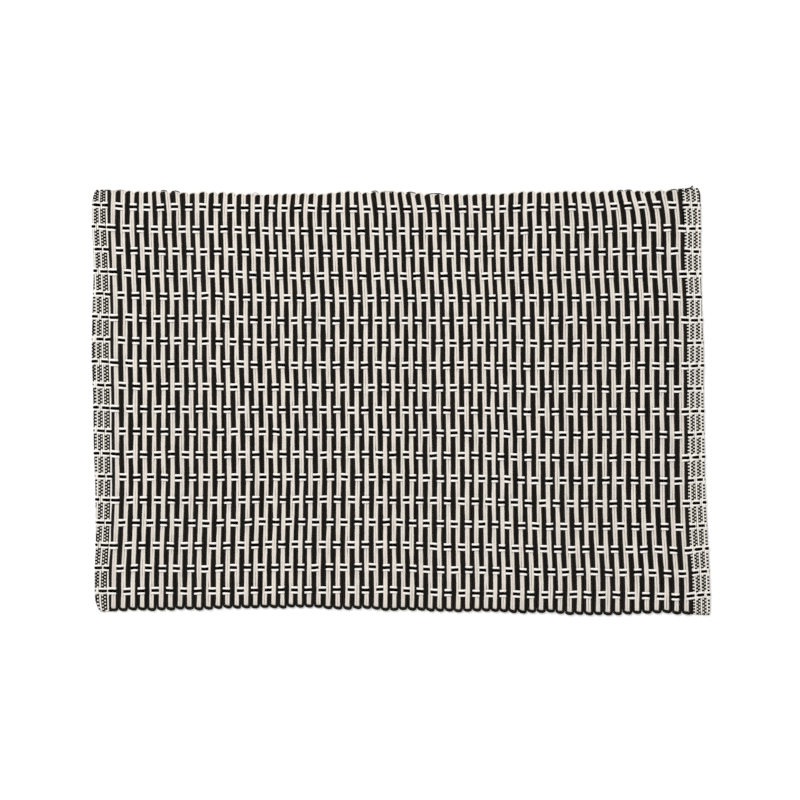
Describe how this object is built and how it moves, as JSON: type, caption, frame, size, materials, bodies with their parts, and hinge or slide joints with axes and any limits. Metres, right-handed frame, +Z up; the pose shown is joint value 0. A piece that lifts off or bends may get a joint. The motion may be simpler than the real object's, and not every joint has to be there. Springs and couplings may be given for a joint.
{
  "type": "woven cotton placemat",
  "caption": "Flat oblong woven placemat of thick cream and black cords, with scalloped long edges and a thinner finely woven heading at each end.",
  "frame": {"origin": "middle of the flat underside, on the surface that the mat lies on", "axes": "+X along the mat's length, from one heading to the other, +Y across it towards the far edge, along the cords, +Z up out of its face"},
  "size_m": [0.4798, 0.3324, 0.0039],
  "materials": {
    "cotton": "matt, thick soft cotton cords in cream and black, crossed by rows of short cream and black bars"
  },
  "bodies": {
    "root": {"placemat": "cotton"}
  },
  "joints": []
}
